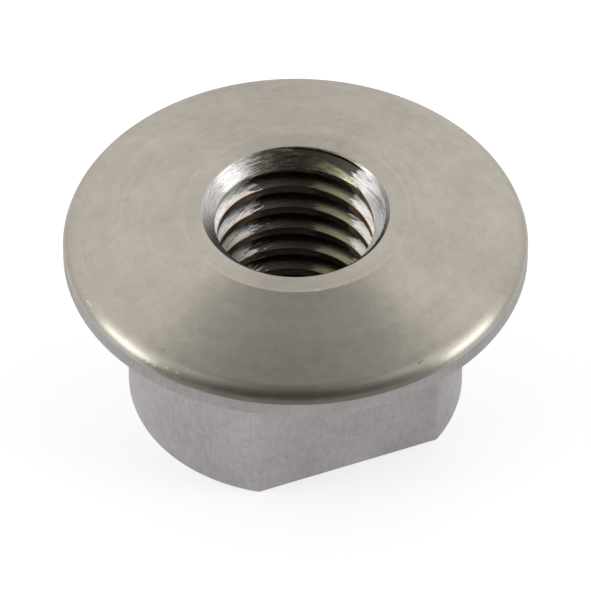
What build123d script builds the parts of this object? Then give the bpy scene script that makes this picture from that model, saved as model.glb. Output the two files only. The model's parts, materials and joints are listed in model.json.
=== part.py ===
from build123d import *
import os

# A flanged spacer nut, turned from one bar: a round boss under a flange whose top is crowned,
# with a flat ring round the thread, and two flats milled on the boss for a spanner.
# Sizes are in millimetres. The origin is the centre of the boss's end face, and Z runs up the thread.

# Thread, drilled here to its tapping size
thread_size = 8.0
thread_pitch = 1.25
mouth_margin = 0.1  # how much wider than the thread each countersunk mouth opens
mouth_angle = 90.0

# Flange
flange_diameter = 20.0
flange_thickness = 2.4  # from the underside up to the flat ring
rim_height = 1.2  # from the underside up to where the crown's slope would meet the rim
rim_round = 0.65
ring_diameter = 10.0  # where the flat ring ends and the crown starts to fall

# Boss
boss_diameter = 14.6
boss_length = 7.6
across_flats = 12.0

# Edges left by the tools
root_round = 0.2  # the tool's nose, in the corner under the flange
edge_break = 0.05

# Worked out from the sizes above
nut_height = boss_length + flange_thickness
flange_radius = flange_diameter / 2
boss_radius = boss_diameter / 2
drill_radius = (thread_size - thread_pitch) / 2
mouth_radius = (thread_size + mouth_margin) / 2


def half_section():
    """Half of the turned section, from the axis out to the rim, with its worked edges."""
    root = (boss_radius, boss_length)
    rim_top = (flange_radius, boss_length + rim_height)
    sharp_edges = [(boss_radius, 0), (flange_radius, boss_length)]
    with BuildSketch(Plane.XZ) as section:
        with BuildLine():
            Polyline(
                (0, 0),
                (boss_radius, 0),
                root,
                (flange_radius, boss_length),
                rim_top,
                (ring_diameter / 2, nut_height),
                (0, nut_height),
                close=True,
            )
        make_face()
        fillet(nearest_corner(section, rim_top), rim_round)
        fillet(nearest_corner(section, root), root_round)
        for edge in sharp_edges:
            chamfer(nearest_corner(section, edge), edge_break)
    return section.sketch


def nearest_corner(section, point):
    """The corner of the section that lies at a point given as radius and height."""
    return section.vertices().sort_by_distance((*point, 0))[0]


def spacer_nut():
    """The blank as it is turned, then milled, drilled and countersunk from both ends."""
    with BuildPart() as nut:
        revolve(half_section(), axis=Axis.Z)
        with BuildSketch(Plane.XY):
            Rectangle(flange_diameter, flange_diameter)
            Rectangle(flange_diameter, across_flats, mode=Mode.SUBTRACT)
        extrude(amount=boss_length, mode=Mode.SUBTRACT)
        flange_mouth = Location((0, 0, nut_height))
        boss_mouth = Location((0, 0, 0), (180, 0, 0))
        with Locations(flange_mouth, boss_mouth):
            CounterSinkHole(drill_radius, mouth_radius, counter_sink_angle=mouth_angle)
    nut.part.label = "spacer_nut"
    return nut.part


os.makedirs("parts", exist_ok=True)
export_step(spacer_nut(), "parts/spacer_nut.step")
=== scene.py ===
"""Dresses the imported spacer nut: turns, mills and taps it as one mesh, finishes its steel and sets the stage."""

import json
import math

import bmesh
import bpy
from mathutils import Matrix, Vector


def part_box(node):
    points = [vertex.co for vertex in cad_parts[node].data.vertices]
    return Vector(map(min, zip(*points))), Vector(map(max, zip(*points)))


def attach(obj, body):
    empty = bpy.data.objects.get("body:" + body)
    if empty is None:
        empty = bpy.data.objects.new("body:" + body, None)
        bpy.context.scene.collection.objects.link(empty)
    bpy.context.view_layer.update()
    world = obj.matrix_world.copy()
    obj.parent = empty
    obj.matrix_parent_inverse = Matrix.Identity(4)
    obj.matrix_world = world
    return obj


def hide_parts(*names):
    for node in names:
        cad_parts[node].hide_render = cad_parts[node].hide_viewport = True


bl_info = {
    "name": "Flanged spacer nut",
    "version": (1, 0, 0),
    "blender": (4, 5, 0),
    "location": "3D View > Sidebar > Spacer Nut",
    "description": "Turns, mills and taps a flanged spacer nut and lights it on a plain floor",
    "category": "Object",
}

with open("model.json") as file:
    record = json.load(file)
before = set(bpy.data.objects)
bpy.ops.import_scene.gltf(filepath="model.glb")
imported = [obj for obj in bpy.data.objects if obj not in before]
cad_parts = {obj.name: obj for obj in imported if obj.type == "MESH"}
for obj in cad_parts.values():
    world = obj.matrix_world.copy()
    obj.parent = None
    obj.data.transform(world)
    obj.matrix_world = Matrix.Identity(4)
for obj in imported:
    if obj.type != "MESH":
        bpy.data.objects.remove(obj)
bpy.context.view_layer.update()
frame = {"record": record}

MM = 0.001
NODE = "spacer_nut"
LOW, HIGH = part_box(NODE)
MOUNTS = {mount["name"]: mount for mount in frame["record"]["mounts"]}
DRILL_RADIUS = MOUNTS["thread"]["dims"]["r_mm"] * MM
MOUTH_DEPTH = (HIGH.z - LOW.z - MOUNTS["thread"]["dims"]["length_mm"] * MM) / 2
STEPS_ROUND = 240
TURNED, MILLED, COUNTERSUNK, TAPPED = range(4)
FLOOR_RADIUS = 2


def length(name, description, default):
    """A size in metres, shown in the scene's own length unit."""
    return bpy.props.FloatProperty(
        name=name, description=description, default=default, min=0, precision=5, subtype="DISTANCE", unit="LENGTH"
    )


def angle(name, description, degrees):
    """An angle, given in degrees and kept in radians."""
    return bpy.props.FloatProperty(
        name=name, description=description, default=math.radians(degrees), subtype="ANGLE", unit="ROTATION"
    )


def colour(name, description, rgb):
    """A colour in linear red, green and blue."""
    return bpy.props.FloatVectorProperty(
        name=name, description=description, default=rgb, size=3, min=0, max=1, subtype="COLOR"
    )


def share(name, description, default, most=1.0):
    """A plain number, such as a roughness or a strength."""
    return bpy.props.FloatProperty(name=name, description=description, default=default, min=0, max=most)


class NutSizes(bpy.types.PropertyGroup):
    """Sizes of the turned and milled outside."""

    flange_radius: length("Flange radius", "From the axis to the rim", HIGH.x)
    underside: length("Underside", "Height of the flange's underside", MOUNTS["flange_underside"]["pos_m"][2])
    height: length("Height", "From the boss's end face to the flat ring", HIGH.z)
    wall_height: length("Wall height", "From the underside up the rim's upright wall", 0.69 * MM)
    crown_edge: length("Crown edge", "Radius at which the crown would meet the slope under its round", 9.81 * MM)
    crown_drop: length("Crown drop", "How far the crown has fallen there", 1.155 * MM)
    rim_round: length("Rim round", "Radius of the round between the crown and the wall", 0.78 * MM)
    ring_radius: length("Ring radius", "Where the flat ring ends and the crown starts to fall", 4.97 * MM)
    boss_radius: length("Boss radius", "Radius of the boss's round sides", 7.3 * MM)
    flat_distance: length("Flat distance", "From the axis to each spanner flat", MOUNTS["back_flat"]["pos_m"][1])
    root_round: length("Root round", "Radius in the corner under the flange", 0.2 * MM)
    edge_break: length("Edge break", "Radius left on each sharp edge", 0.06 * MM)
    flat_break: length("Flat break", "Width taken off the edges of the flats and the boss's end", 0.12 * MM)


class ThreadSizes(bpy.types.PropertyGroup):
    """Sizes of the right-hand thread in the hole."""

    pitch: length("Pitch", "Rise of the thread in one turn", 1.25 * MM)
    root_radius: length("Root radius", "From the axis to the bottom of the groove", 4.0 * MM)
    drill_radius: length("Drilled radius", "From the axis to the thread's crests", DRILL_RADIUS)
    mouth_depth: length("Mouth depth", "Depth of the countersink at each end", MOUTH_DEPTH)
    start: angle("Start", "Angle about Z where the groove passes the boss's end face", 75)


class SteelFinish(bpy.types.PropertyGroup):
    """Colours and roughness of the steel, as the lathe, the mill and the tap left it."""

    turned_colour: colour("Turned colour", "Flange, where it is turned smooth", (0.47, 0.432, 0.374))
    turned_roughness: share("Turned roughness", "Mean roughness of the turned flange", 0.34)
    turned_anisotropy: share("Turned anisotropy", "How far the turning marks spread a highlight across themselves", 0.8)
    milled_colour: colour("Milled colour", "Boss, rim wall and flats, which are duller", (0.323, 0.308, 0.304))
    milled_roughness: share("Milled roughness", "Mean roughness of the boss", 0.55)
    sunk_colour: colour("Countersunk colour", "Countersink at each end of the hole", (0.54, 0.525, 0.5))
    sunk_roughness: share("Countersunk roughness", "Mean roughness of the countersinks", 0.24)
    tapped_colour: colour("Tapped colour", "Thread, where it is clean", (0.94, 0.92, 0.9))
    # This near-black is dried oil and also painted shade on the hole's far wall; it also darkens a line along the
    # countersinks' foot.
    oil_and_shade_colour: colour("Oil colour", "Thread where cutting oil has dried on it", (0.1, 0.091, 0.073))
    film_colour: colour("Oil film colour", "Where the oil has dried to a thin film", (0.37, 0.345, 0.22))
    lip_colour: colour("Lip colour", "Upper edge of the thread's crests, which oil has browned", (0.75, 0.54, 0.36))
    crest_colour: colour("Crest colour", "Rest of the thread's crests", (0.78, 0.66, 0.53))
    # Oil side points at the hole's far wall as the camera sees it: the dark patch there is dried oil and painted shade.
    oil_and_shade_side: angle("Oil side", "Angle about Z of the side of the hole where most oil has dried", 67)
    tapped_roughness: share("Tapped roughness", "Mean roughness of the thread", 0.3)
    tapped_anisotropy: share("Tapped anisotropy", "How far the tap's marks spread a highlight across themselves", 0.2)


class StudioSettings(bpy.types.PropertyGroup):
    """Camera, lamps, room and floor. Lamps and room are set out round the camera's side."""

    camera_azimuth: angle("Camera azimuth", "Round from the front flat", -22.38)
    camera_elevation: angle("Camera elevation", "Above the floor", 44.43)
    camera_distance: length("Camera distance", "From the point that the camera looks at", 303.7 * MM)
    camera_height: length("Aim height", "Height on the axis that the camera looks at", 4.67 * MM)
    focal_length: share("Focal length", "Lens in millimetres on a 36 mm sensor", 420.2, 2000)
    softbox_azimuth: angle("Softbox azimuth", "To each side of the camera", 82)
    softbox_turn: angle("Softbox turn", "How far both are turned round to the right", 1.5)
    softbox_elevation: angle("Softbox elevation", "Above the floor", 17.6)
    softbox_distance: length("Softbox distance", "From the nut", 0.8)
    softbox_width: length("Softbox width", "Across", 0.358)
    softbox_height: length("Softbox height", "Up and down", 0.262)
    softbox_colour: colour("Softbox colour", "Tint of the softboxes' light", (0.93, 0.97, 1.0))
    softbox_radiance: share("Softbox brightness", "Where 1 looks white", 4.35, 20)
    wall_brightness: share("Wall brightness", "Pale wall opposite the camera", 1.0, 4)
    wall_top: angle("Wall top", "Elevation of the pale wall's upper edge", 61)
    tent_top: angle("Tent top", "Elevation of the pale wall's upper edge at the sides", 66)
    ceiling_brightness: share("Ceiling brightness", "Above the pale wall", 0.273, 4)
    ceiling_colour: colour("Ceiling colour", "Tint of the ceiling's light", (0.985, 1.0, 0.965))
    dark_side_brightness: share("Dark side brightness", "The room on the camera's side", 0.013, 4)
    card_radius: length("Card radius", "White card that the nut stands on", 27 * MM)
    card_glow: share("Card glow", "What brings the card up to white where it is seen", 0.6, 2)
    card_mirrored: share("Card mirrored", "How much more of that glow shows in the metal", 1.61, 4)
    horizon_height: angle("Horizon height", "Elevation up to which a white band runs round the horizon", 3)


def section_corners(nut, thread):
    """Corners of the half section as radius and height, each with its rounding, from the boss's mouth outwards."""
    mouth_radius = thread.drill_radius + thread.mouth_depth
    return [
        (mouth_radius, 0, nut.edge_break),
        (nut.boss_radius, 0, 0),
        (nut.boss_radius, nut.underside, nut.root_round),
        (nut.flange_radius, nut.underside, nut.edge_break),
        (nut.flange_radius, nut.underside + nut.wall_height, 0),
        (nut.crown_edge, nut.height - nut.crown_drop, nut.rim_round),
        (nut.ring_radius, nut.height, nut.edge_break),
        (mouth_radius, nut.height, nut.edge_break),
        (thread.drill_radius, nut.height - thread.mouth_depth, 0),
        (thread.drill_radius, thread.mouth_depth, 0),
    ]


def round_corner(bm, corner, radius):
    """Rounds one corner of a closed outline to about that radius."""
    to_next, to_last = [edge.other_vert(corner).co - corner.co for edge in corner.link_edges]
    setback = radius / math.tan(to_next.angle(to_last) / 2)
    bmesh.ops.bevel(
        bm, geom=[corner], offset=setback, offset_type="OFFSET", affect="VERTICES", segments=8, profile=0.5, material=-1
    )


def turned_blank(nut, thread):
    """The blank as it leaves the lathe: the half section spun round Z."""
    bm = bmesh.new()
    corners = section_corners(nut, thread)
    verts = [bm.verts.new((radius, 0, height)) for radius, height, _ in corners]
    for here, there in zip(verts, verts[1:] + verts[:1]):
        bm.edges.new((here, there))
    for vert, (_, _, rounding) in zip(verts, corners):
        if rounding:
            round_corner(bm, vert, rounding)
    bmesh.ops.spin(
        bm, geom=bm.verts[:] + bm.edges[:], cent=(0, 0, 0), axis=(0, 0, 1), angle=math.tau,
        steps=STEPS_ROUND, use_merge=True,
    )
    bmesh.ops.remove_doubles(bm, verts=bm.verts, dist=1e-7)
    bmesh.ops.recalc_face_normals(bm, faces=bm.faces)
    return bm


def tap_helix(nut, thread):
    """What the tap cuts away: the groove's section wound up past both ends of the hole."""
    bm = bmesh.new()
    inner = thread.drill_radius - 0.15 * thread.pitch
    half_root = thread.pitch / 16
    half_mouth = half_root + (thread.root_radius - inner) * math.tan(math.radians(30))
    outline = [
        (inner, -half_mouth),
        (thread.root_radius, -half_root),
        (thread.root_radius, half_root),
        (inner, half_mouth),
    ]
    turns = math.ceil(nut.height / thread.pitch) + 2
    verts = [bm.verts.new((radius, 0, height - thread.pitch)) for radius, height in outline]
    face = bm.faces.new(verts)
    bmesh.ops.rotate(bm, verts=verts, cent=(0, 0, 0), matrix=Matrix.Rotation(thread.start, 3, "Z"))
    bmesh.ops.spin(
        bm, geom=[face, *face.edges, *face.verts], cent=(0, 0, 0), axis=(0, 0, 1), angle=math.tau * turns,
        steps=STEPS_ROUND * turns, dvec=(0, 0, thread.pitch / STEPS_ROUND),
    )
    bmesh.ops.holes_fill(bm, edges=[edge for edge in bm.edges if edge.is_boundary])
    bmesh.ops.recalc_face_normals(bm, faces=bm.faces)
    return bm


def flat_cutter(nut):
    """What the mill takes off: a block outside each flat, up to the flange."""
    bm = bmesh.new()
    depth = nut.flange_radius
    for side in (1, -1):
        place = Matrix.Translation((0, side * (nut.flat_distance + depth / 2), nut.underside - depth / 2))
        bmesh.ops.create_cube(bm, size=1, matrix=place @ Matrix.Diagonal((3 * depth, depth, depth, 1)))
    return bm


def new_object(name, bm):
    """A mesh object of that name in the scene, at the origin."""
    mesh = bpy.data.meshes.new(name)
    bm.to_mesh(mesh)
    bm.free()
    made = bpy.data.objects.new(name, mesh)
    bpy.context.scene.collection.objects.link(made)
    return made


def cut(piece, cutter_bm):
    """Takes the cutter's volume out of the piece, and the cutter out of the scene."""
    cutter = new_object("cutter", cutter_bm)
    boolean = piece.modifiers.new("Cut", "BOOLEAN")
    boolean.operation = "DIFFERENCE"
    boolean.solver = "EXACT"
    boolean.object = cutter
    with bpy.context.temp_override(object=piece, active_object=piece, selected_objects=[piece]):
        bpy.ops.object.modifier_apply(modifier=boolean.name)
    bpy.data.objects.remove(cutter)


def break_boss_edges(piece, nut):
    """Merges what the tap left doubled, then rounds the boss's end edge and the flats' upright edges."""
    bm = bmesh.new()
    bm.from_mesh(piece.data)
    bmesh.ops.remove_doubles(bm, verts=bm.verts, dist=0.001 * MM)
    below = nut.underside - 0.95 * nut.root_round
    on_end = [vert for vert in bm.verts if vert.co.z < 1e-6 and abs(vert.co.y) > nut.flat_distance - 1e-6]
    well_inside = nut.flat_distance * 0.9
    spokes = {
        edge for vert in on_end for edge in vert.link_edges if edge.other_vert(vert).co.xy.length < well_inside
    }
    bmesh.ops.dissolve_edges(bm, edges=list(spokes), use_verts=True)

    def worked(edge):
        outside = all(vert.co.xy.length > nut.flat_distance * 0.99 and vert.co.z < below for vert in edge.verts)
        return outside and edge.is_convex and edge.calc_face_angle() > math.radians(20)

    bmesh.ops.bevel(
        bm, geom=[edge for edge in bm.edges if worked(edge)], offset=nut.flat_break, offset_type="OFFSET",
        affect="EDGES", segments=3, profile=0.5, material=-1,
    )
    bm.to_mesh(piece.data)
    bm.free()


class Nodes:
    """Short calls for building one node tree."""

    def __init__(self, owner):
        owner.use_nodes = True
        self.tree = owner.node_tree
        self.tree.nodes.clear()

    def add(self, kind, inputs=None, **settings):
        """A node with its settings, and its inputs set or linked by name or number."""
        made = self.tree.nodes.new("ShaderNode" + kind)
        for key, value in settings.items():
            setattr(made, key, value)
        for key, value in (inputs or {}).items():
            socket = made.inputs[key]
            if isinstance(value, bpy.types.NodeSocket):
                self.tree.links.new(value, socket)
            else:
                socket.default_value = value
        return made

    def math(self, operation, *values):
        """The result of one sum."""
        return self.add("Math", dict(enumerate(values)), operation=operation).outputs[0]

    def vector(self, operation, *values, output="Vector"):
        """What one vector sum gives."""
        return self.add("VectorMath", dict(enumerate(values)), operation=operation).outputs[output]

    def scaled(self, vector, amount):
        """The vector or colour made that many times larger."""
        return self.add("VectorMath", {0: vector, "Scale": amount}, operation="SCALE").outputs[0]

    def ramp(self, value, low, high, to_low=0.0, to_high=1.0):
        """The value taken from one range to another and held there."""
        inputs = {"Value": value, "From Min": low, "From Max": high, "To Min": to_low, "To Max": to_high}
        return self.add("MapRange", inputs).outputs[0]

    def noise(self, vector, detail=2.0, roughness=0.5):
        """Smooth noise about 0.5, one bump to a unit of the vector."""
        inputs = {"Vector": vector, "Scale": 1.0, "Detail": detail, "Roughness": roughness}
        return self.add("TexNoise", inputs).outputs[0]

    def blend(self, amount, first, second):
        """A number between two numbers."""
        return self.add("Mix", {0: amount, 2: first, 3: second}).outputs[0]

    def tint(self, amount, first, second):
        """A colour between two colours."""
        return self.add("Mix", {0: amount, 6: first, 7: second}, data_type="RGBA").outputs[2]


class Steel(Nodes):
    """One steel's material and nodes, with each place on the nut in a lathe's terms."""

    def __init__(self, name):
        self.material = bpy.data.materials.new(name)
        super().__init__(self.material)
        self.place = self.add("TexCoord").outputs["Object"]
        self.height = self.add("SeparateXYZ", {0: self.place}).outputs[2]
        across = self.vector("MULTIPLY", self.place, (1, 1, 0))
        self.radius = self.vector("LENGTH", across, output="Value")
        self.outwards = self.vector("NORMALIZE", across)
        self.turning = self.vector("CROSS_PRODUCT", (0, 0, 1), self.outwards)

    def streaks(self, station, spacing, sweep, detail=2.0, roughness=0.5):
        """Noise drawn out round the axis: its spacing along the station, and its sweep round the axis in degrees."""
        stretched = self.scaled(self.outwards, 1 / math.radians(sweep))
        level = self.add("CombineXYZ", {2: self.math("DIVIDE", station, spacing)}).outputs[0]
        return self.noise(self.vector("ADD", stretched, level), detail, roughness)

    def left_of(self, side):
        """The angle round Z from a side of the hole, growing to the left as the hole's far wall is looked at."""
        far = Vector((math.cos(side), math.sin(side), 0))
        ahead = self.vector("DOT_PRODUCT", self.outwards, far, output="Value")
        leftwards = self.vector("DOT_PRODUCT", self.outwards, far.cross((0, 0, -1)), output="Value")
        return self.math("ARCTAN2", leftwards, ahead)

    def down_thread(self, thread):
        """How far below the middle of the next groove above."""
        x, y = self.add("SeparateXYZ", {0: self.place}).outputs[:2]
        turns = self.math("DIVIDE", self.math("SUBTRACT", self.math("ARCTAN2", y, x), thread.start), math.tau)
        turns = self.math("SUBTRACT", turns, self.math("DIVIDE", self.height, thread.pitch))
        return self.math("MULTIPLY", self.math("FRACT", turns), thread.pitch)

    def grain(self, size, detail=2.0, roughness=0.5):
        """Noise of that size along X, Y and Z."""
        return self.noise(self.vector("DIVIDE", self.place, size), detail, roughness)

    def relief(self, height, depth):
        """The bump that a height from 0 to 1 makes at that depth."""
        return self.add("Bump", {"Height": height, "Distance": depth, "Strength": 1.0}).outputs[0]

    def finished(self, inputs):
        """The material, ended in its shader."""
        shader = self.add("BsdfPrincipled", {"Metallic": 1.0, **inputs})
        self.add("OutputMaterial", {"Surface": shader.outputs[0]})
        return self.material


def rgba(values):
    """A colour with full alpha, as a colour socket takes it."""
    return (*values, 1)


def nick(steel, break_up, degrees, radius, height, long, wide, slant=0):
    """One small nick: 1 within it and 0 outside, at an angle about Z, long round the axis unless it slants."""
    round_z = Matrix.Rotation(math.radians(degrees), 3, "Z")
    along = round_z @ Matrix.Rotation(math.radians(slant), 3, "X") @ Vector((0, 1, 0))
    offset = steel.vector("SUBTRACT", steel.place, round_z @ Vector((radius, 0, height)) * MM)
    lengthwise = steel.vector("DOT_PRODUCT", offset, along, output="Value")
    sideways = steel.vector("SUBTRACT", offset, steel.scaled(along, lengthwise))
    across = steel.vector("LENGTH", sideways, output="Value")
    far = steel.math("ADD", steel.math("POWER", steel.math("DIVIDE", lengthwise, long / 2 * MM), 2.0), break_up)
    far = steel.math("ADD", steel.math("POWER", steel.math("DIVIDE", across, wide / 2 * MM), 2.0), far)
    return steel.ramp(far, 0.1, 1, 1, 0)


def turned_steel(finish, nut):
    """Flange top, ring and rim: fine marks round the axis, which stretch each highlight across them. A painted
    highlight lines the ring's edge, and painted glints light some of the nicks.
    """
    steel = Steel("turned steel")
    fine = steel.streaks(steel.radius, 0.06 * MM, 18, detail=3, roughness=0.65)
    feed = steel.streaks(steel.radius, 0.35 * MM, 70, detail=3)
    mottle = steel.grain((0.5 * MM,) * 3, detail=4, roughness=0.75)
    cloud = steel.grain((2.5 * MM,) * 3)
    # Painted highlight: a thin line just inside the flat ring's edge is 5% lighter.
    edge = steel.math("COMPARE", steel.radius, nut.ring_radius - 0.09 * MM, 0.06 * MM)
    tone = steel.math("ADD", steel.ramp(fine, 0, 1, 0.9, 1.1), steel.ramp(feed, 0, 1, -0.07, 0.07))
    tone = steel.math("ADD", tone, steel.ramp(mottle, 0, 1, -0.2, 0.2))
    tone = steel.math("ADD", tone, steel.ramp(cloud, 0, 1, -0.15, 0.15))
    tone = steel.math("MULTIPLY_ADD", edge, 0.05, tone)
    break_up = steel.ramp(steel.grain((0.09 * MM,) * 3, detail=3), 0.35, 0.65, -1, 1)
    # Nicks: a positive lift paints a glint, a painted highlight; a negative lift darkens a dark nick or smudge.
    for lift, *place in (
        (0.7, -176, 9.77, 8.7, 0.5, 0.12),
        (0.5, -146, 9.8, 8.67, 0.25, 0.12, 30),
        (0.5, -143, 9.8, 8.67, 0.3, 0.1, -20),
        (-0.28, -149.4, 9.26, 8.98, 0.16, 0.14),
        (-0.3, -150, 9.93, 8.48, 2, 0.24),
        (-0.3, -79, 9.57, 8.86, 0.5, 0.14, 25),
        (0.45, -101, 4.93, 10, 0.3, 0.14),
        (0.4, -47, 9.64, 8.81, 0.25, 0.12, 60),
    ):
        tone = steel.math("MULTIPLY_ADD", nick(steel, break_up, *place), lift, tone)
    return steel.finished({
        "Base Color": steel.scaled(finish.turned_colour, tone),
        "Roughness": steel.ramp(fine, 0, 1, finish.turned_roughness * 0.9, finish.turned_roughness * 1.1),
        "Anisotropic": finish.turned_anisotropy,
        "Anisotropic Rotation": 0.25,
        "Tangent": steel.turning,
        "Normal": steel.relief(fine, 0.6e-6),
    })


def milled_steel(finish):
    """Boss, flats and rim wall: a dull, mottled finish with faint marks along the axis."""
    steel = Steel("milled steel")
    strokes = steel.grain((0.12 * MM, 0.12 * MM, 0.7 * MM), detail=3, roughness=0.65)
    mottle = steel.grain((0.4 * MM,) * 3, detail=4, roughness=0.8)
    cloud = steel.grain((3 * MM,) * 3)
    tone = steel.math("ADD", steel.ramp(strokes, 0, 1, 0.8, 1.2), steel.ramp(mottle, 0, 1, -0.45, 0.45))
    tone = steel.math("ADD", tone, steel.ramp(cloud, 0, 1, -0.2, 0.2))
    return steel.finished({
        "Base Color": steel.scaled(finish.milled_colour, tone),
        "Roughness": steel.ramp(mottle, 0, 1, finish.milled_roughness - 0.2, finish.milled_roughness + 0.2),
        "Normal": steel.relief(mottle, 10e-6),
    })


def oiled_and_shaded(steel, finish, clean, film, dried):
    """A steel's colour with dried oil and painted shade on the hole's far wall, as the camera sees it, and an oil film
    to the right of that.
    """
    pools = steel.streaks(steel.height, 0.05 * MM, 14, detail=3, roughness=0.6)
    round_by = steel.left_of(finish.oil_and_shade_side)
    # The patch lies where the camera looks at the hole's far wall: its near-black is painted shade, its brown and olive
    # tints are oil.
    on_left = steel.ramp(steel.math("MULTIPLY_ADD", pools, -1.4, round_by), -0.19, -0.11, 1, 0)
    on_right = steel.ramp(steel.math("MULTIPLY_ADD", pools, 0.6, round_by), -0.5, -0.44, 0, 1)
    thin = steel.ramp(steel.math("MULTIPLY_ADD", pools, 0.5, round_by), -0.03, 0.05, 1, 0)
    dark_oil_and_shade = steel.tint(thin, dried, film)
    return steel.tint(steel.math("MULTIPLY", on_left, on_right), clean, dark_oil_and_shade)


def countersunk_steel(finish, thread):
    """Countersinks: scored round the axis more coarsely than the flange, with painted shade on the hole's right side, a
    dark line at the foot, and dried oil and painted shade on the far wall.
    """
    steel = Steel("countersunk steel")
    scores = steel.streaks(steel.radius, 0.05 * MM, 8, detail=4, roughness=0.7)
    # Painted shade: from about 55 to 70 degrees right of the far wall onwards, the countersink's colour falls to about
    # half.
    right_side = steel.ramp(steel.left_of(finish.oil_and_shade_side), -1.25, -0.95, 0.48, 1)
    lit = steel.math("MULTIPLY", steel.ramp(scores, 0.35, 0.55, 0.75, 1.15), right_side)
    # A dark line along the countersink's foot, next to the thread's crests.
    foot = steel.ramp(steel.radius, thread.drill_radius + 0.05 * MM, thread.drill_radius + 0.12 * MM, 1, 0)
    clean = steel.tint(foot, steel.scaled(finish.sunk_colour, lit), rgba(finish.oil_and_shade_colour))
    film, dried = (steel.scaled(part, steel.ramp(scores, 0.35, 0.65, low, high)) for part, low, high in (
        (finish.film_colour, 0.6, 1.5), (finish.oil_and_shade_colour, 1.1, 4.5)))
    return steel.finished({
        "Base Color": oiled_and_shaded(steel, finish, clean, film, dried),
        "Roughness": steel.ramp(scores, 0.2, 0.8, finish.sunk_roughness - 0.06, finish.sunk_roughness + 0.06),
        "Anisotropic": 0.4,
        "Anisotropic Rotation": 0.25,
        "Tangent": steel.turning,
        "Normal": steel.relief(scores, 8e-6),
    })


def tapped_steel(finish, thread):
    """Thread: bright and torn along the groove, with painted shade towards its root and on the right of its top turn,
    browned crests, and dried oil and painted shade on the far wall.
    """
    steel = Steel("tapped steel")
    torn = steel.streaks(steel.height, 0.05 * MM, 16, detail=4, roughness=0.7)
    below = steel.down_thread(thread)
    # Painted shade: the colour dims by a tenth towards the groove's root.
    root_shade = steel.ramp(below, 0.05 * MM, 0.2 * MM, 0.9, 1)
    lit = steel.math("MULTIPLY", root_shade, steel.ramp(torn, 0.36, 0.52, 0.5, 1.06))
    # Painted shade: on the hole's right side the top turn of the thread is half as bright.
    first_turn = steel.ramp(steel.height, HIGH.z - 1.1 * MM, HIGH.z - 0.8 * MM)
    right_side = steel.ramp(steel.left_of(finish.oil_and_shade_side), -1.2, -0.95, 1, 0)
    shaded_first_turn = steel.math("MULTIPLY", first_turn, right_side)
    lit = steel.math("MULTIPLY", lit, steel.ramp(shaded_first_turn, 0, 1, 1, 0.5))
    clean = steel.scaled(finish.tapped_colour, lit)
    clean = steel.tint(steel.ramp(below, 0.4 * MM, 0.44 * MM), clean, rgba(finish.lip_colour))
    clean = steel.tint(steel.ramp(below, 0.56 * MM, 0.62 * MM), clean, rgba(finish.crest_colour))
    # Olive along the lower flank; elsewhere the near-black of dried oil and painted shade.
    lip = steel.math("MULTIPLY", steel.ramp(below, 0.26 * MM, 0.36 * MM), steel.ramp(below, 0.46 * MM, 0.52 * MM, 1, 0))
    film = steel.tint(lip, rgba(finish.oil_and_shade_colour), rgba(finish.film_colour))
    # Within the dark patch the crests are up to 2.5 times lighter: a painted highlight along them.
    dried = steel.scaled(finish.oil_and_shade_colour, steel.ramp(below, 0.44 * MM, 0.56 * MM, 1, 2.5))
    return steel.finished({
        "Base Color": oiled_and_shaded(steel, finish, clean, film, dried),
        "Roughness": steel.ramp(torn, 0.3, 0.7, finish.tapped_roughness - 0.06, finish.tapped_roughness + 0.06),
        "Anisotropic": finish.tapped_anisotropy,
        "Anisotropic Rotation": 0.25,
        "Tangent": steel.turning,
        "Normal": steel.relief(torn, 10e-6),
    })


def finish_faces(piece, nut, thread, finish):
    """Gives the nut its four finishes, each face by where it lies."""
    for material in (
        turned_steel(finish, nut),
        milled_steel(finish),
        countersunk_steel(finish, thread),
        tapped_steel(finish, thread),
    ):
        piece.data.materials.append(material)
    mouth = thread.drill_radius + thread.mouth_depth
    for face in piece.data.polygons:
        radius, height = face.center.xy.length, face.center.z
        into_hole = face.normal.dot(Vector((*face.center.xy, 0))) < 0
        if radius < mouth and into_hole:
            off_cone = abs(min(height, nut.height - height) - (mouth - radius))
            face.material_index = COUNTERSUNK if off_cone < 0.02 * MM else TAPPED
        elif height < nut.underside + nut.wall_height:
            face.material_index = MILLED
        else:
            face.material_index = TURNED


class NUT_OT_machine(bpy.types.Operator):
    """Turn, mill and tap the nut as one mesh in place of its CAD node"""

    bl_idname = "spacer_nut.machine"
    bl_label = "Machine the nut"

    def execute(self, context):
        scene = context.scene
        nut, thread = scene.nut_sizes, scene.thread_sizes
        piece = new_object("nut", turned_blank(nut, thread))
        cut(piece, flat_cutter(nut))
        cut(piece, tap_helix(nut, thread))
        break_boss_edges(piece, nut)
        piece.data.shade_smooth()
        piece.data.set_sharp_from_angle(angle=math.radians(12))
        finish_faces(piece, nut, thread, scene.steel_finish)
        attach(piece, "root")
        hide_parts(NODE)
        return {"FINISHED"}


def around(studio, azimuth, elevation, distance):
    """A place that far from the origin, at an angle round from the camera's side and above the floor."""
    azimuth += studio.camera_azimuth
    flat = math.cos(elevation)
    return distance * Vector((math.sin(azimuth) * flat, -math.cos(azimuth) * flat, math.sin(elevation)))


def aim(thing, place, target):
    """Puts a camera or lamp at a place, looking at the target."""
    thing.location = place
    thing.rotation_euler = (place - target).to_track_quat("Z", "Y").to_euler()
    bpy.context.scene.collection.objects.link(thing)


def add_camera(studio):
    """A long lens above the nut, to the left of its front flat."""
    camera = bpy.data.objects.new("camera", bpy.data.cameras.new("camera"))
    camera.data.lens = studio.focal_length
    target = Vector((0, 0, studio.camera_height))
    aim(camera, target + around(studio, 0, studio.camera_elevation, studio.camera_distance), target)
    camera.data.clip_start = studio.camera_distance / 10
    camera.data.clip_end = studio.camera_distance * 20
    bpy.context.scene.camera = camera


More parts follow.
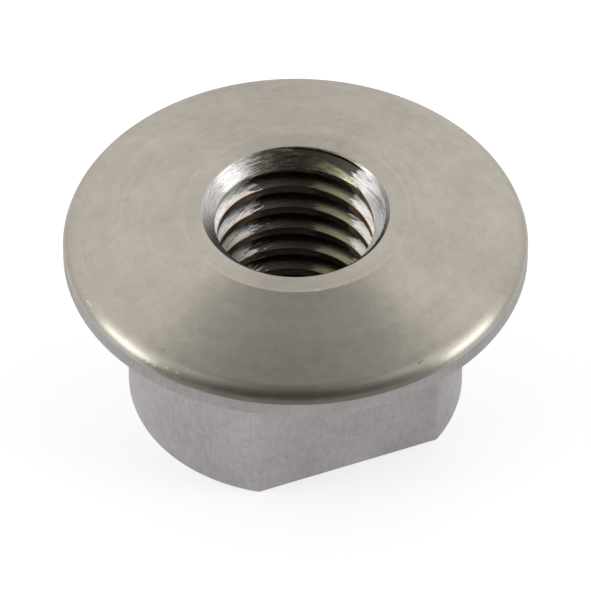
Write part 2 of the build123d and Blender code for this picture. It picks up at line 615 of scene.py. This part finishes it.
def add_softbox(studio, side):
    """A softbox to one side of the nut."""
    data = bpy.data.lights.new("softbox", "AREA")
    data.shape = "RECTANGLE"
    data.size, data.size_y = studio.softbox_width, studio.softbox_height
    data.energy = studio.softbox_radiance * math.pi * data.size * data.size_y
    data.color = studio.softbox_colour
    azimuth = side * studio.softbox_azimuth + studio.softbox_turn
    place = around(studio, azimuth, studio.softbox_elevation, studio.softbox_distance)
    aim(bpy.data.objects.new("softbox", data), place, Vector())


def add_room(studio):
    """A pale wall opposite the camera, a dim ceiling, a dark camera side and a white horizon."""
    world = bpy.data.worlds.new("room")
    bpy.context.scene.world = world
    nodes = Nodes(world)
    way = nodes.add("TexCoord").outputs["Generated"]
    height = nodes.add("SeparateXYZ", {0: way}).outputs[2]
    away = nodes.vector("DOT_PRODUCT", way, tuple(around(studio, math.pi, 0, 1)), output="Value")
    top = nodes.ramp(away, 0, 0.15, math.sin(studio.tent_top), math.sin(studio.wall_top))
    across = nodes.ramp(away, -0.45, -0.35)
    wall = nodes.math("MULTIPLY", across, nodes.ramp(nodes.math("SUBTRACT", height, top), -0.01, 0.01, 1, 0))
    rest = nodes.ramp(away, -0.81, -0.33, studio.dark_side_brightness, studio.ceiling_brightness)
    room = nodes.blend(wall, rest, studio.wall_brightness)
    horizon = math.sin(studio.horizon_height)
    room = nodes.blend(nodes.ramp(height, horizon, 1.3 * horizon, 1, 0), room, 1.0)
    light = nodes.tint(wall, rgba(studio.ceiling_colour), (1, 1, 1, 1))
    background = nodes.add("Background", {"Strength": room, "Color": light})
    nodes.add("OutputWorld", {"Surface": background.outputs[0]})


def add_floor(studio):
    """A white floor that takes the nut's shadow. Reflections see it toned apart from what the camera sees."""
    bm = bmesh.new()
    bmesh.ops.create_circle(bm, cap_ends=True, segments=64, radius=FLOOR_RADIUS)
    floor = new_object("floor", bm)
    paint = bpy.data.materials.new("white floor")
    nodes = Nodes(paint)
    place = nodes.add("TexCoord").outputs["Object"]
    path = nodes.add("LightPath").outputs
    reflected = nodes.math("MAXIMUM", path["Is Glossy Ray"], path["Is Transmission Ray"])
    radius = nodes.vector("LENGTH", place, output="Value")
    way = nodes.vector("NORMALIZE", place)
    away = nodes.vector("DOT_PRODUCT", way, tuple(around(studio, math.pi, 0, 1)), output="Value")
    beyond = nodes.ramp(radius, studio.card_radius, 1.4 * studio.card_radius)
    card = nodes.ramp(radius, 4.5 * MM, 6 * MM, 0, studio.card_glow)
    # What reflections see of the floor's glow: dimmed on the camera's side, towards 55 degrees right of the camera and
    # near the nut, brighter further out; the dimmed way darkens the right of the front flat in reflection.
    dimmed_glow_way = nodes.vector("DOT_PRODUCT", way, tuple(around(studio, math.radians(55), 0, 1)), output="Value")
    mirrored = nodes.math("MULTIPLY", nodes.ramp(away, -0.2, 0.6, 1, 0.36), nodes.ramp(dimmed_glow_way, 0.87, 1, 1, 0.84))
    mirrored = nodes.math("MULTIPLY", mirrored, nodes.ramp(radius, 7.5 * MM, 18 * MM, 0.88, 1.16))
    mirrored = nodes.math("MULTIPLY", card, nodes.math("MULTIPLY", mirrored, studio.card_mirrored))
    behind = nodes.ramp(away, -0.3, 0.3)
    past = nodes.blend(behind, nodes.ramp(radius, 0.85 * studio.card_radius, 1.15 * studio.card_radius), beyond)
    shown = nodes.blend(past, mirrored, nodes.ramp(away, -0.3, 1, 0, 0.65))
    seen = nodes.ramp(radius, 4.5 * MM, 6 * MM, 0.3, 1.1 * studio.card_glow)
    white = nodes.blend(beyond, seen, 0.9)
    strength = nodes.math("MULTIPLY_ADD", path["Is Camera Ray"], white, nodes.math("MULTIPLY", reflected, shown))
    paint_tone = nodes.tint(beyond, (0.615, 0.615, 0.615, 1), (0.346, 0.346, 0.346, 1))
    # Beyond the card on the camera's side, reflections see the floor's own colour near black.
    hidden = nodes.math("MULTIPLY", reflected, nodes.blend(behind, past, 0))
    matt = nodes.add("BsdfDiffuse", {"Color": nodes.tint(hidden, paint_tone, (0.02, 0.02, 0.02, 1))})
    glow = nodes.add("Emission", {"Color": (1, 1, 1, 1), "Strength": strength})
    both = nodes.add("AddShader", {0: matt.outputs[0], 1: glow.outputs[0]})
    nodes.add("OutputMaterial", {"Surface": both.outputs[0]})
    floor.data.materials.append(paint)


class NUT_OT_stage(bpy.types.Operator):
    """Add the floor, the room's light, the softboxes and the camera"""

    bl_idname = "spacer_nut.stage"
    bl_label = "Set the stage"

    def execute(self, context):
        studio = context.scene.studio_settings
        add_camera(studio)
        add_room(studio)
        for side in (1, -1):
            add_softbox(studio, side)
        add_floor(studio)
        context.scene.view_settings.view_transform = "Standard"
        return {"FINISHED"}


class NUT_PT_panel(bpy.types.Panel):
    """Lists the steps that make the nut and its stage"""

    bl_label = "Spacer Nut"
    bl_idname = "NUT_PT_panel"
    bl_space_type = "VIEW_3D"
    bl_region_type = "UI"
    bl_category = "Spacer Nut"

    def draw(self, context):
        for operator in (NUT_OT_machine, NUT_OT_stage):
            self.layout.operator(operator.bl_idname)


CLASSES = (NutSizes, ThreadSizes, SteelFinish, StudioSettings, NUT_OT_machine, NUT_OT_stage, NUT_PT_panel)
GROUPS = {
    "nut_sizes": NutSizes,
    "thread_sizes": ThreadSizes,
    "steel_finish": SteelFinish,
    "studio_settings": StudioSettings,
}


def register():
    for cls in CLASSES:
        bpy.utils.register_class(cls)
    for name, group in GROUPS.items():
        setattr(bpy.types.Scene, name, bpy.props.PointerProperty(type=group))


def unregister():
    for name in GROUPS:
        delattr(bpy.types.Scene, name)
    for cls in reversed(CLASSES):
        bpy.utils.unregister_class(cls)


def main():
    register()
    bpy.ops.spacer_nut.machine()
    bpy.ops.spacer_nut.stage()


if __name__ == "__main__":
    main()
